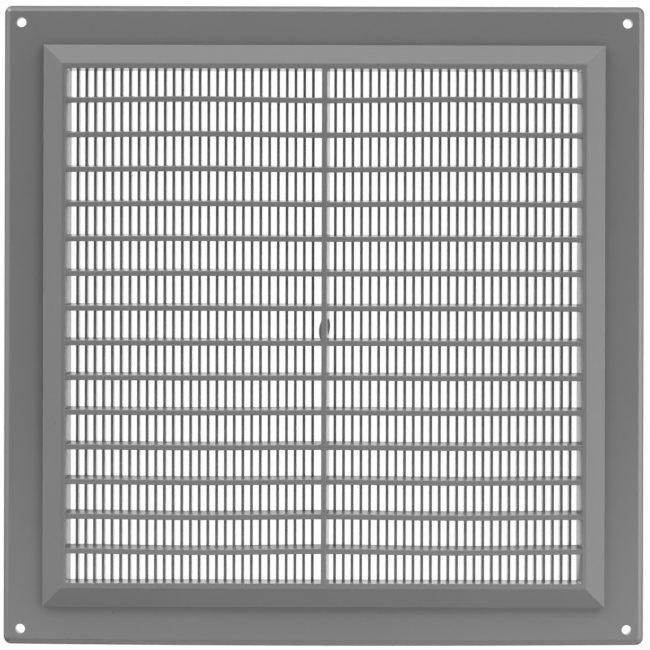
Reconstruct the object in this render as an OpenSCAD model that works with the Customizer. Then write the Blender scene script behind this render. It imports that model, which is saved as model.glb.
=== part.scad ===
// Square louvred vent grille, moulded in one piece of grey plastic.
// It is drawn lying on its back, x across, y up the louvre and z out of the
// wall, and stood upright at the end. The origin is the centre of the back,
// the back lies in the plane y = 0 and the front looks along -Y.

/* [Flange] */
// Width and height of the square flange
flange_w = 300; // [290:1:320]
// Thickness of the flange
flange_t = 3.6; // [3.5:0.1:4.4]
// Radius that rounds the flange's front edge
edge_r = 3.4; // [1:0.1:3.4]
// Radius of the flange's outer corners, seen from the front
corner_r = 3.6; // [3.5:0.1:6]

/* [Screw holes] */
// Diameter of the four screw holes
hole_d = 4.5; // [3.5:0.1:6]
// Distance from the flange's edges to the centre of each hole
hole_inset = 8.3; // [7.5:0.1:9]

/* [Raised surround] */
// Width and height of the surround where it leaves the flange
surround_w = 261.8; // [261:0.1:264]
// Height of the surround's front above the wall
surround_h = 10; // [9:0.1:12]
// Height of the upright step between the flange and the slope
step_h = 2.4; // [1.5:0.1:3.6]
// Width of the slope, seen from the front
slope_w = 9.3; // [5:0.1:9.5]
// Wall thickness of the surround, which is hollow behind
wall_t = 2.2; // [1.6:0.1:2.6]

/* [Opening] */
// Width of the opening at the front
open_w = 240; // [232:0.1:241]
// Height of the opening at the front
open_h = 238.8; // [232:0.1:241]
// Radius of the opening's corners at the front
open_r = 1.8; // [1:0.1:3]
// How far each side wall leans in between the front and the bars
side_lean = 1.5; // [0.5:0.1:2]
// How much the sill rises from front to back
sill_rise = 0.6; // [0.2:0.1:1]

/* [Slats] */
// Number of slats across the opening
slat_count = 14; // [8:1:16]
// Thickness of a slat at its front edge
slat_t = 2.4; // [1.5:0.1:3]
// How far the slats' fronts lie behind the front of the surround
slat_recess = 0.2; // [0:0.1:1]
// How much a slat's top face rises from front to back
top_rise = 1.3; // [0.8:0.1:2]
// How much a slat's underside rises from front to back
under_rise = 0.6; // [0.2:0.1:0.8]

/* [Bars behind the slats] */
// Number of bars on each side of the middle rib
bar_count = 28; // [14:1:30]
// Width of a bar
bar_w = 1.3; // [1:0.1:1.6]
// Thickness of a bar, from the back of the slats to the wall
bar_t = 2.5; // [1.5:0.25:3.5]
// Distance from the middle of the grille to the first bar
first_bar_x = 5.2; // [4.8:0.1:6]

/* [Middle rib] */
// Width of the middle rib at its front
rib_w = 2.4; // [2:0.1:3]
// How much the right side of the middle rib spreads towards the back
rib_spread = 1.4; // [0:0.1:1.6]

/* [Hidden] */

plastic = [0.47, 0.47, 0.475];
round_fn = 16;
// How deep a slat, a bar or the rib is rooted in the wall that carries it
root = 0.6;
// Margin by which a cutter runs past the face that it cuts
past = 1;

edge_flat = flange_t - edge_r;
corner_at = flange_w / 2 - corner_r;
hole_at = flange_w / 2 - hole_inset;

surround_half = surround_w / 2;
crest_half = surround_half - slope_w;
step_top = flange_t + step_h;
slope_rise = (surround_h - step_top) / slope_w;
// The hollow's roof lies one wall thickness under the slope
roof_drop = wall_t * sqrt(1 + slope_rise * slope_rise);
hollow_out = surround_half - wall_t;
hollow_in = open_w / 2 + wall_t;
roof_out = step_top + wall_t * slope_rise - roof_drop;
roof_in = roof_out + (hollow_out - hollow_in) * slope_rise;

back_half_w = open_w / 2 - side_lean;
slat_front = surround_h - slat_recess;
slat_pitch = (open_h + slat_t) / (slat_count + 1);
first_slat_y = -(slat_count - 1) / 2 * slat_pitch;
// The side wall stands where one more bar would begin
bar_pitch = (back_half_w + bar_w / 2 - first_bar_x) / bar_count;

// Section of the flange with its rounded front edges, z up the page
module flange_section() {
    flat_w = flange_w - 2 * edge_r;
    translate([-flange_w / 2, 0])
        square([flange_w, edge_flat]);
    translate([-flat_w / 2, 0])
        square([flat_w, flange_t]);
    for (side = [-1, 1])
        translate([side * flat_w / 2, edge_flat])
            intersection() {
                circle(r = edge_r, $fn = round_fn);
                translate([-edge_r, 0])
                    square([2 * edge_r, edge_r]);
            }
}

// The same edge turned round one outer corner
module flange_corner() {
    rotate_extrude(angle = 90, $fn = round_fn)
        intersection() {
            translate([corner_r - flange_w / 2, 0])
                flange_section();
            square([corner_r, flange_t]);
        }
}

module flange() {
    run = flange_w - 2 * corner_r;
    for (turn = [0, 90])
        rotate([0, 0, turn])
            rotate([90, 0, 0])
                linear_extrude(run, center = true)
                    flange_section();
    for (turn = [0:90:270])
        rotate([0, 0, turn])
            translate([corner_at, corner_at, 0])
                flange_corner();
}

// A square block with the given half section on all four sides, so that its
// slopes meet in mitres at the corners
module mitred_block(half_section) {
    last = len(half_section) - 1;
    other_half = [for (i = [last:-1:0]) [-half_section[i][0], half_section[i][1]]];
    intersection_for (turn = [0, 90])
        rotate([0, 0, turn])
            rotate([90, 0, 0])
                linear_extrude(2 * flange_w, center = true)
                    polygon(concat(half_section, other_half));
}

module surround() {
    mitred_block([
        [surround_half, 0],
        [surround_half, step_top],
        [crest_half, surround_h]
    ]);
}

// The trough that keeps the surround's walls thin, open at the back
module hollow() {
    difference() {
        mitred_block([
            [hollow_out, -past],
            [hollow_out, roof_out],
            [hollow_in, roof_in]
        ]);
        cube([2 * hollow_in, 2 * hollow_in, 3 * surround_h], center = true);
    }
}

module opening_outline() {
    corner_x = open_w / 2 - open_r;
    corner_y = open_h / 2 - open_r;
    square([open_w, 2 * corner_y], center = true);
    square([2 * corner_x, open_h], center = true);
    for (x = [-1, 1], y = [-1, 1])
        translate([x * corner_x, y * corner_y])
            circle(r = open_r, $fn = round_fn);
}

// The opening has rounded corners at the front, side walls that lean in and
// a sill that rises to shed rain
module opening() {
    deep = surround_h + past;
    length = 2 * surround_w;
    intersection() {
        translate([0, 0, -past])
            linear_extrude(deep + past)
                opening_outline();
        rotate([90, 0, 0])
            linear_extrude(length, center = true)
                polygon([
                    [-back_half_w, -past],
                    [back_half_w, -past],
                    [back_half_w, bar_t],
                    [open_w / 2, surround_h],
                    [open_w / 2, deep],
                    [-open_w / 2, deep],
                    [-open_w / 2, surround_h],
                    [-back_half_w, bar_t]
                ]);
        rotate([90, 0, 90])
            linear_extrude(length, center = true)
                polygon([
                    [sill_rise - open_h / 2, -past],
                    [open_h, -past],
                    [open_h, deep],
                    [-open_h / 2, deep],
                    [-open_h / 2, surround_h],
                    [sill_rise - open_h / 2, 0]
                ]);
    }
}

module screw_holes() {
    for (x = [-1, 1], y = [-1, 1])
        translate([x * hole_at, y * hole_at, -past])
            cylinder(d = hole_d, h = flange_t + 2 * past, $fn = round_fn);
}

// Each slat slopes down to the front to shed rain, and is thicker at the back
module slats() {
    for (i = [0:slat_count - 1])
        translate([0, first_slat_y + i * slat_pitch, 0])
            rotate([90, 0, 90])
                linear_extrude(open_w + 2 * root, center = true)
                    polygon([
                        [-slat_t / 2, slat_front],
                        [slat_t / 2, slat_front],
                        [slat_t / 2 + top_rise, bar_t],
                        [-slat_t / 2 + under_rise, bar_t]
                    ]);
}

// The bars stand behind the slats and keep insects out
module bars() {
    length = open_h + 2 * root;
    for (side = [-1, 1], i = [0:bar_count - 1])
        translate([side * (first_bar_x + i * bar_pitch), 0, bar_t / 2])
            cube([bar_w, length, bar_t], center = true);
}

// The middle rib ties the slats together at half their length
module middle_rib() {
    rotate([90, 0, 0])
        linear_extrude(open_h + 2 * root, center = true)
            polygon([
                [-rib_w / 2, 0],
                [-rib_w / 2, surround_h],
                [rib_w / 2, surround_h],
                [rib_w / 2 + rib_spread, 0]
            ]);
}

module grille() {
    color(plastic)
        rotate([90, 0, 0]) {
            difference() {
                union() {
                    flange();
                    surround();
                }
                opening();
                hollow();
                screw_holes();
            }
            slats();
            bars();
            middle_rib();
        }
}

grille();
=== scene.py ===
import math

import bmesh
import bpy
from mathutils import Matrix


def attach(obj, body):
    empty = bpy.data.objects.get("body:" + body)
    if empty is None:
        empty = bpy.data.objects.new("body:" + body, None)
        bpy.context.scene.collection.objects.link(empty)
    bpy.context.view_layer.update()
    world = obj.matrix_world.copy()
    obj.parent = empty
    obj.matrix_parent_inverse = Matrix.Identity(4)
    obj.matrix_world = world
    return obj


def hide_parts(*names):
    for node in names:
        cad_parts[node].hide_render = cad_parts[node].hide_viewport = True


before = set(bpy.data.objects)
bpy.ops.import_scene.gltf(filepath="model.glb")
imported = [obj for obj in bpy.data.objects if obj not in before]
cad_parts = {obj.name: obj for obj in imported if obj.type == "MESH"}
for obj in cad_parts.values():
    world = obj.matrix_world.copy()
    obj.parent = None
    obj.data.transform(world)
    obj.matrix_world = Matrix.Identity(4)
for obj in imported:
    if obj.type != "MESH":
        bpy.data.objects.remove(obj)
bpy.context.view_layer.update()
bpy.ops.object.select_all(action="DESELECT")

# Flange
# A flat square plate of grey plastic, which is screwed to the wall. It is one
# moulding with everything below, and its front edges are rounded. It has
# warped a little, so that its bottom edge bulges down.
MM = 0.001
flange_w = 300 * MM
flange_t = 3.6 * MM
flange_corner_r = 3.6 * MM
flange_edge_r = 3.4 * MM
# how full the rounding is: 0.5 is a quarter circle and 0.25 a flat chamfer
flange_edge_profile = 0.37
flange_steps = 8
bottom_bulge = 0.75 * MM
bulge_cuts = 31
# points that are closer to each other than this are in one place
same = 0.01 * MM


def near(value, target):
    return abs(value - target) < same


def points_of(part):
    """The place of a vertex, or the places of an edge's or a face's vertices."""
    if isinstance(part, bmesh.types.BMVert):
        return [part.co]
    return [corner.co for corner in part.verts]


def select(kind, test):
    """Selects the vertices, edges or faces that pass the test, and no others."""
    net = bmesh.from_edit_mesh(bpy.context.object.data)
    for part in {"VERT": net.verts, "EDGE": net.edges, "FACE": net.faces}[kind]:
        part.select = test(part)
    net.select_flush_mode()
    bmesh.update_edit_mesh(bpy.context.object.data)


def pick(kind, test):
    """Selects each vertex, edge or face whose points all pass the test."""
    bpy.ops.mesh.select_mode(type=kind)
    bpy.ops.mesh.select_all(action="DESELECT")
    select(kind, lambda part: all(test(point) for point in points_of(part)))


def keep_edges(test):
    """Of the edges that are selected, keeps those that pass the test."""
    select("EDGE", lambda edge: edge.select and test(edge))


def runs_along(edge, axis):
    """Whether an edge runs more along this axis than along the other two."""
    a, b = points_of(edge)
    span = [abs(u - v) for u, v in zip(a, b)]
    return span["XYZ".index(axis)] == max(span)


def pick_runs(axis, test):
    """Selects the edges that run along the axis and whose ends pass the test."""
    pick("EDGE", test)
    keep_edges(lambda edge: runs_along(edge, axis))


def block(name, low, high):
    """Adds a block between two corners and goes on in edit mode."""
    size = [b - a for a, b in zip(low, high)]
    middle = [(a + b) / 2 for a, b in zip(low, high)]
    bpy.ops.mesh.primitive_cube_add(size=1, location=middle, scale=size)
    bpy.ops.object.transform_apply(location=True, rotation=True, scale=True)
    bpy.context.object.name = name
    bpy.ops.object.mode_set(mode="EDIT")
    return bpy.context.object


def bow(x, rise, falloff, half_span):
    """Lifts what is at x, and less and less of what lies to its sides."""
    pick("VERT", lambda p: near(p.x, x))
    bpy.ops.transform.translate(
        value=(0, 0, rise), use_proportional_edit=True,
        proportional_edit_falloff=falloff, proportional_size=half_span)


def round_off(radius, steps, profile=0.5):
    """Rounds the selected edges, each in this many flat steps."""
    bpy.ops.mesh.bevel(offset=radius, segments=steps, profile=profile, affect="EDGES")


# the bottom edge is drawn straight and then bowed down to its full width
half_w = flange_w / 2
moulding = block(
    "grille_moulding", (-half_w, -flange_t, bottom_bulge - half_w), (half_w, 0, half_w))
pick_runs("X", lambda p: p.z < 0)
bpy.ops.mesh.subdivide(number_cuts=bulge_cuts)
bow(0, -bottom_bulge, "INVERSE_SQUARE", half_w)
pick_runs("Y", lambda p: near(abs(p.x), half_w))
round_off(flange_corner_r, flange_steps)
pick("EDGE", lambda p: near(p.y, -flange_t))
round_off(flange_edge_r, flange_steps, flange_edge_profile)
bpy.ops.object.mode_set(mode="OBJECT")

# Raised surround
# The wall round the louvre, moulded in one with the flange. It leaves it in a
# short upright step, slopes up to a narrow flat land and is hollow behind, as
# moulded walls are.
surround_w = 261.8 * MM
surround_h = 10 * MM
step_h = 2.4 * MM
slope_w = 9.3 * MM
wall_t = 2.2 * MM
open_w = 240 * MM
open_h = 238.8 * MM
open_r = 1.8 * MM
open_steps = 6
# how far the side walls lean in and the sill rises, from front to back
side_lean = 1.5 * MM
sill_rise = 0.6 * MM
# depth of the line where the side walls stop leaning in and the slats end
bar_line = 2.5 * MM
# room to spare in a test for a place
margin = 0.1 * MM

surround_half = surround_w / 2
step_top = flange_t + step_h
slope_h = surround_h - step_top
land_w = surround_half - slope_w - open_w / 2
back_w = open_w - 2 * side_lean
sill_at_bars = sill_rise * (1 - bar_line / surround_h)


def reach(point):
    """How far out a point lies, seen from the front."""
    return max(abs(point.x), abs(point.z))


def extrude(y):
    """Pulls the selected face out to a new face, y further along the depth."""
    bpy.ops.mesh.extrude_region_move(TRANSFORM_OT_translate={"value": (0, y, 0)})


def slide(z):
    """Moves what is selected up or down."""
    bpy.ops.transform.translate(value=(0, 0, z))


def make_active(piece):
    """Makes this piece the active one and the only one selected."""
    bpy.ops.object.select_all(action="DESELECT")
    bpy.context.view_layer.objects.active = piece
    piece.select_set(True)


def merge(target, tool, operation):
    """Leaves edit mode, and joins a closed piece to the target or cuts it out."""
    bpy.ops.object.mode_set(mode="OBJECT")
    make_active(target)
    bpy.ops.object.modifier_add(type="BOOLEAN")
    step = target.modifiers[-1]
    step.operation = operation
    step.solver = "MANIFOLD"
    step.object = tool
    bpy.ops.object.modifier_apply(modifier=step.name)
    bpy.data.objects.remove(tool)


# the block's front face becomes the slope, the land and the opening
surround = block(
    "surround", (-surround_half, -step_top, -surround_half), (surround_half, 0, surround_half))
pick("FACE", lambda p: near(p.y, -step_top))
bpy.ops.mesh.inset(thickness=slope_w, depth=slope_h)
bpy.ops.mesh.inset(thickness=land_w)
bpy.ops.transform.resize(value=(1, 1, open_h / open_w))
extrude(surround_h - bar_line)
bpy.ops.transform.resize(value=(back_w / open_w, 1, 1))
pick("EDGE", lambda p: near(p.y, -bar_line) and p.z < 0)
slide(sill_at_bars)
pick("FACE", lambda p: near(p.y, -bar_line))
extrude(bar_line)
pick("EDGE", lambda p: near(p.y, 0) and p.z < 0 and reach(p) < open_w / 2)
slide(sill_rise - sill_at_bars)
pick("FACE", lambda p: near(p.y, 0) and reach(p) < open_w / 2)
bpy.ops.mesh.delete(type="ONLY_FACE")

# the hollow is pushed in from the back, its roof one wall under the slope, and
# ends in a flat rim that meets the opening
steepness = slope_h / slope_w
hollow_out = surround_half - wall_t
hollow_in = open_w / 2 + wall_t
roof_out = step_top + wall_t * steepness - wall_t * math.hypot(1, steepness)
roof_in = roof_out + (hollow_out - hollow_in) * steepness

pick("FACE", lambda p: near(p.y, 0))
bpy.ops.mesh.inset(thickness=wall_t)
extrude(-roof_out)
bpy.ops.mesh.inset(thickness=hollow_out - hollow_in, depth=roof_out - roof_in)
extrude(roof_in)
bpy.ops.mesh.inset(thickness=hollow_in - back_w / 2)
pick("EDGE", lambda p: near(p.y, 0) and near(p.z, back_w / 2))
slide(open_h / 2 - back_w / 2)
pick("EDGE", lambda p: near(p.y, 0) and near(p.z, -back_w / 2))
slide(back_w / 2 + sill_rise - open_h / 2)
pick("FACE", lambda p: near(p.y, 0) and reach(p) < hollow_in - margin)
bpy.ops.mesh.delete(type="ONLY_FACE")
bpy.ops.mesh.select_all(action="SELECT")
bpy.ops.mesh.remove_doubles(threshold=same)


def at_corner(p):
    """Whether a point is at one of the opening's four corners, at any depth."""
    return reach(p) < open_w / 2 + margin and min(abs(p.x), abs(p.z)) > back_w / 2 - margin


pick_runs("Y", at_corner)
round_off(open_r, open_steps)

# the corners are rounded at the front only, where the walls lean in
corner_reach = open_r + margin
for x in (-back_w / 2, back_w / 2):
    for y, sill in ((-bar_line, sill_at_bars), (0, sill_rise)):
        for z in (open_h / 2, sill - open_h / 2):
            pick("VERT", lambda p: near(p.y, y) and math.hypot(p.x - x, p.z - z) < corner_reach)
            bpy.ops.transform.resize(value=(0, 0, 0), center_override=(x, y, z))
bpy.ops.mesh.select_all(action="SELECT")
bpy.ops.mesh.remove_doubles(threshold=same)
bpy.ops.object.mode_set(mode="OBJECT")

# the flange ends inside the surround's upright wall
cut_half = surround_half - wall_t / 2
middle = block(
    "middle", (-cut_half, -2 * flange_t, -cut_half), (cut_half, flange_t, cut_half))
merge(moulding, middle, "DIFFERENCE")
merge(moulding, surround, "UNION")

# Screw holes
# One plain round hole in each corner of the flange, moulded with it and with
# no countersink. The screws that hold the grille to the wall go through them.
hole_d = 4.5 * MM
hole_inset = 8.3 * MM
hole_facets = 48
hole_at = half_w - hole_inset

for x in (-hole_at, hole_at):
    for z in (-hole_at, hole_at):
        bpy.ops.mesh.primitive_cylinder_add(
            vertices=hole_facets, radius=hole_d / 2, depth=4 * flange_t,
            location=(x, 0, z), rotation=(math.pi / 2, 0, 0))
        merge(moulding, bpy.context.object, "DIFFERENCE")

# the mould leaves small radii on all the edges but the rim that meets the wall
small_r = 0.35 * MM
small_steps = 3
# edges that turn by more than this get one
sharp_from = math.radians(20)


def on_rim(p):
    """Whether a point is on the flange's outer side, behind its rounded edge."""
    side_t = flange_t - flange_edge_r
    return reach(p) > half_w - flange_corner_r - margin and p.y > -side_t - margin


bpy.ops.object.mode_set(mode="EDIT")
bpy.ops.mesh.select_mode(type="EDGE")
bpy.ops.mesh.select_all(action="DESELECT")
bpy.ops.mesh.edges_select_sharp(sharpness=sharp_from)
keep_edges(lambda edge: not all(on_rim(point) for point in points_of(edge)))
round_off(small_r, small_steps)
bpy.ops.object.mode_set(mode="OBJECT")

# Slats
# Wedges of the same plastic that run the whole width of the opening and slope
# down to the front, so that rain runs off. The shrinking frame has made them
# bow away from the middle row, on each side of the rib that holds them.
slat_count = 14
slat_t = 2.4 * MM
slat_recess = 0.2 * MM
slat_top_rise = 1.3 * MM
slat_under_rise = 0.6 * MM
slat_cuts = 47
slat_bow = 0.65 * MM
# how far a bow reaches to each side of the place where it is highest
bow_reach = 66 * MM
# how deep a slat, a bar or the rib is rooted in the wall that carries it
root = 0.6 * MM

slat_front = surround_h - slat_recess
slat_half = open_w / 2 + root
slat_pitch = (open_h + slat_t) / (slat_count + 1)
top_slat_z = (slat_count - 1) / 2 * slat_pitch

slat = block(
    "slat", (-slat_half, -slat_front, -slat_t / 2), (slat_half, -bar_line, slat_t / 2))
pick("EDGE", lambda p: near(p.y, -bar_line) and p.z > 0)
slide(slat_top_rise)
pick("EDGE", lambda p: near(p.y, -bar_line) and p.z < 0)
slide(slat_under_rise)
pick_runs("X", lambda p: near(p.y, -slat_front))
round_off(small_r, small_steps)
pick_runs("X", lambda p: True)
bpy.ops.mesh.subdivide(number_cuts=slat_cuts)
bpy.ops.object.mode_set(mode="OBJECT")


def copy_to(piece, x, z):
    """Makes a copy with a mesh of its own, moved by x and z, in edit mode."""
    make_active(piece)
    bpy.ops.object.duplicate()
    bpy.ops.object.mode_set(mode="EDIT")
    bpy.ops.mesh.select_all(action="SELECT")
    bpy.ops.transform.translate(value=(x, 0, z))
    return bpy.context.object


for i in range(slat_count):
    z = top_slat_z - i * slat_pitch
    copy = copy_to(slat, 0, z)
    for x in (-slat_half / 2, slat_half / 2):
        bow(x, slat_bow * z / top_slat_z, "SMOOTH", bow_reach)
    merge(moulding, copy, "UNION")
bpy.data.objects.remove(slat)

# Bars
# Thin upright bars behind the slats, which keep insects out. They are moulded
# in one piece with them and reach forward over the rear part of each slat.
bar_count = 28
bar_w = 1.3 * MM
bar_depth = 4.4 * MM
bar_nose_r = 0.2 * MM
bar_nose_steps = 2
# from the middle of the grille to the middle of the first bar
first_bar_x = 5.2 * MM
bar_pitch = (back_w / 2 + bar_w / 2 - first_bar_x) / bar_count
bar_half = open_h / 2 + root

bar = block("bar", (-bar_w / 2, -bar_depth, -bar_half), (bar_w / 2, 0, bar_half))
pick_runs("Z", lambda p: near(p.y, -bar_depth))
round_off(bar_nose_r, bar_nose_steps)
bpy.ops.object.mode_set(mode="OBJECT")

for side in (-1, 1):
    for i in range(bar_count):
        copy = copy_to(bar, side * (first_bar_x + i * bar_pitch), 0)
        merge(moulding, copy, "UNION")
bpy.data.objects.remove(bar)

# Middle rib
# It ties the slats together at half their length, and is moulded in one with
# them. Its right flank spreads towards the back. The plastic was fed in behind
# it, near the middle, where the cut-off gate has left a slanting oval lump.
rib_w = 2.4 * MM
rib_spread = 1.4 * MM

rib = block("rib", (-rib_w / 2, -surround_h, -bar_half), (rib_w / 2, 0, bar_half))
pick("EDGE", lambda p: near(p.y, 0) and p.x > 0)
bpy.ops.transform.translate(value=(rib_spread, 0, 0))
pick_runs("Z", lambda p: near(p.y, -surround_h))
round_off(small_r, small_steps)
merge(moulding, rib, "UNION")

# the lump, by its middle, its half sizes and how it is turned, in degrees
gate_at = (0.25 * MM, -5 * MM, -1.2 * MM)
gate_half = (3.1 * MM, 1.3 * MM, 5.7 * MM)
gate_turns = {"Y": -13, "Z": -40}
gate_facets = 24
gate_rings = 16

bpy.ops.mesh.primitive_uv_sphere_add(
    segments=gate_facets, ring_count=gate_rings, radius=1, location=gate_at)
bpy.ops.object.transform_apply(location=True)
bpy.ops.object.mode_set(mode="EDIT")
bpy.ops.transform.resize(value=gate_half, center_override=gate_at)
for axis, angle in gate_turns.items():
    bpy.ops.transform.rotate(
        value=math.radians(angle), orient_axis=axis, center_override=gate_at)
merge(moulding, bpy.context.object, "UNION")

# Plastic
# The whole grille is one injection moulding of grey plastic, coloured all
# through. It has a satin surface, slightly cloudy where it cooled unevenly,
# with spots of pigment and the fine grain of the mould.
grey = 0.19
# the colour's blue, as a part of its red and green
blue_part = 1.01
satin = 0.3
# spots per metre, and how much they change the colour and the roughness
cloud_scale = 25
cloud_shade = 0.06
cloud_rough = 0.06
pigment_scale = 420
pigment_shade = 0.07
pigment_rough = 0.08
grain_scale = 1900
grain_height = 0.03 * MM
grain_strength = 0.2
# edges that turn by less than this are shaded smooth
smooth_below = math.radians(35)


class Signal:
    """The output of a shader node, or only a place to add nodes if it has no
    socket. Sums and products add Math nodes."""

    def __init__(self, tree, socket=None):
        self.tree = tree
        self.socket = socket

    def node(self, kind, settings=None, inputs=None, output=0):
        """Adds a node, sets it up, and fills its sockets with values or links."""
        new = self.tree.nodes.new(kind)
        for name, value in (settings or {}).items():
            setattr(new, name, value)
        for name, value in (inputs or {}).items():
            if isinstance(value, Signal):
                self.tree.links.new(value.socket, new.inputs[name])
            else:
                new.inputs[name].default_value = value
        return Signal(self.tree, new.outputs[output])

    def link(self, socket):
        self.tree.links.new(self.socket, socket)

    def maths(self, operation, a, b):
        return self.node("ShaderNodeMath", {"operation": operation}, {0: a, 1: b})

    def __add__(self, other):
        return self.maths("ADD", self, other)

    def __sub__(self, other):
        return self.maths("SUBTRACT", self, other)

    def __rsub__(self, other):
        return self.maths("SUBTRACT", other, self)

    def __mul__(self, other):
        return self.maths("MULTIPLY", self, other)

    __radd__ = __add__
    __rmul__ = __mul__


def new_material(piece, name):
    """Gives a piece a new material. Returns the sockets of its shader, and the
    place on the piece, which its patterns are drawn from."""
    material = bpy.data.materials.new(name)
    material.use_nodes = True
    piece.data.materials.clear()
    piece.data.materials.append(material)
    place = Signal(material.node_tree).node("ShaderNodeTexCoord", output="Object")
    return material.node_tree.nodes["Principled BSDF"].inputs, place


def noise(place, per_metre, detail):
    """Noise round zero, about -0.5 to 0.5, in spots of the given fineness."""
    return place.node("ShaderNodeTexNoise", inputs={
        "Vector": place, "Scale": per_metre, "Detail": detail}) - 0.5


bpy.ops.object.shade_smooth_by_angle(angle=smooth_below)
bpy.ops.object.modifier_add(type="WEIGHTED_NORMAL")
moulding.modifiers[-1].keep_sharp = True
bpy.ops.object.modifier_apply(modifier=moulding.modifiers[-1].name)

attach(moulding, "root")
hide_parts("grille")

sockets, place = new_material(moulding, "grey_plastic")
clouds = noise(place, cloud_scale, detail=2)
pigment = noise(place, pigment_scale, detail=3)
grain = noise(place, grain_scale, detail=2)
shade = grey * (1 + cloud_shade * clouds + pigment_shade * pigment)
tint = place.node("ShaderNodeCombineXYZ", inputs={0: shade, 1: shade, 2: blue_part * shade})
rough = satin + cloud_rough * clouds + pigment_rough * pigment
bump = place.node("ShaderNodeBump", output="Normal", inputs={
    "Strength": grain_strength, "Distance": grain_height, "Height": grain})
tint.link(sockets["Base Color"])
rough.link(sockets["Roughness"])
bump.link(sockets["Normal"])

# Studio
# The grille hangs upright against plain white, above a pale floor. Soft round
# lamps rake over it, most of all from above and from the sides, and two weak
# ones stand low in front. The white behind it shines through the gaps.
eye_distance = 809 * MM
eye_x = 0.47 * MM
eye_z = 0.52 * MM
roll = math.radians(0.135)
# the picture's width, and its scale at the wall
picture_w = 650
pixels_per_metre = 2131
# the lens and the sensor behind it are in millimetres
sensor_w = 36

camera_data = bpy.data.cameras.new("camera")
camera = bpy.data.objects.new("camera", camera_data)
bpy.context.scene.collection.objects.link(camera)
bpy.context.scene.camera = camera
camera.location = (eye_x, -eye_distance, eye_z)
camera.rotation_euler = (math.pi / 2, -roll, 0)
camera_data.sensor_width = sensor_w
camera_data.lens = sensor_w * eye_distance / (picture_w / pixels_per_metre)

# how far each lamp stands off the line of sight, in degrees, its clock angle
# from the top, its distance in metres and its power in watts; the ones called
# edge stand level with the wall
lamps = {
    "upper_right": (70, 45, 2.4, 40),
    "upper_left": (70, 315, 2.4, 34),
    "top": (70, 0, 2.4, 15),
    "right": (70, 90, 2.4, 16),
    "left": (70, 270, 2.4, 9.5),
    "upper_left_edge": (90, 315, 2.4, 28),
    "right_edge": (90, 90, 1.2, 3.2),
    "left_edge": (90, 270, 1.2, 1.8),
    "lower_right": (70, 135, 1.2, 3.5),
    "low_right": (40, 150, 0.6, 0.67),
    "low_left": (40, 210, 0.6, 0.59),
}
# each lamp's width, as a part of its distance
lamp_spread = 0.75

for name, (aside, clock, distance, power) in lamps.items():
    out = distance * math.sin(math.radians(aside))
    ahead = distance * math.cos(math.radians(aside))
    clock = math.radians(clock)
    bpy.ops.object.light_add(
        type="AREA", location=(out * math.sin(clock), -ahead, out * math.cos(clock)))
    lamp = bpy.context.object
    lamp.name = name
    lamp.data.shape = "DISK"
    lamp.data.size = lamp_spread * distance
    lamp.data.energy = power
    lamp.rotation_euler = (-lamp.location).to_track_quat("-Z", "Y").to_euler()
    lamp.visible_camera = False

# the floor is a round sheet that fades out towards its edge
floor_r = 0.8
floor_z = -1.2
floor_facets = 96
fade_from = 0.4
pale = (0.9, 0.9, 0.9, 1)
matt_paint = 0.8

bpy.ops.mesh.primitive_circle_add(
    vertices=floor_facets, radius=floor_r, fill_type="NGON", location=(0, 0, floor_z))
ground = bpy.context.object
ground.name = "floor"
sockets, place = new_material(ground, "pale_floor")
sockets["Base Color"].default_value = pale
sockets["Roughness"].default_value = matt_paint
from_middle = place.node(
    "ShaderNodeVectorMath", {"operation": "LENGTH"}, {0: place}, output="Value")
cover = place.node("ShaderNodeMapRange", {"interpolation_type": "SMOOTHSTEP"}, {
    "Value": from_middle, "From Min": fade_from, "From Max": floor_r, "To Min": 1, "To Max": 0})
cover.link(sockets["Alpha"])

# the camera sees white all round, and the grille is lit by a round white
# screen far behind it, which spans this angle from its middle to its rim
backlight = 2.06
screen = math.radians(35)
white = (1, 1, 1, 1)

world = bpy.data.worlds.new("studio")
bpy.context.scene.world = world
world.use_nodes = True
background = world.node_tree.nodes["Background"].inputs
background["Color"].default_value = white
sky = Signal(world.node_tree)
direction = sky.node("ShaderNodeTexCoord", output="Generated")
depth = sky.node("ShaderNodeSeparateXYZ", inputs={0: direction}, output="Y")
behind = sky.maths("GREATER_THAN", depth, math.cos(screen))
seen = sky.node("ShaderNodeLightPath", output="Is Camera Ray")
strength = seen + (1 - seen) * behind * backlight
strength.link(background["Strength"])
bpy.context.scene.view_settings.view_transform = "Standard"
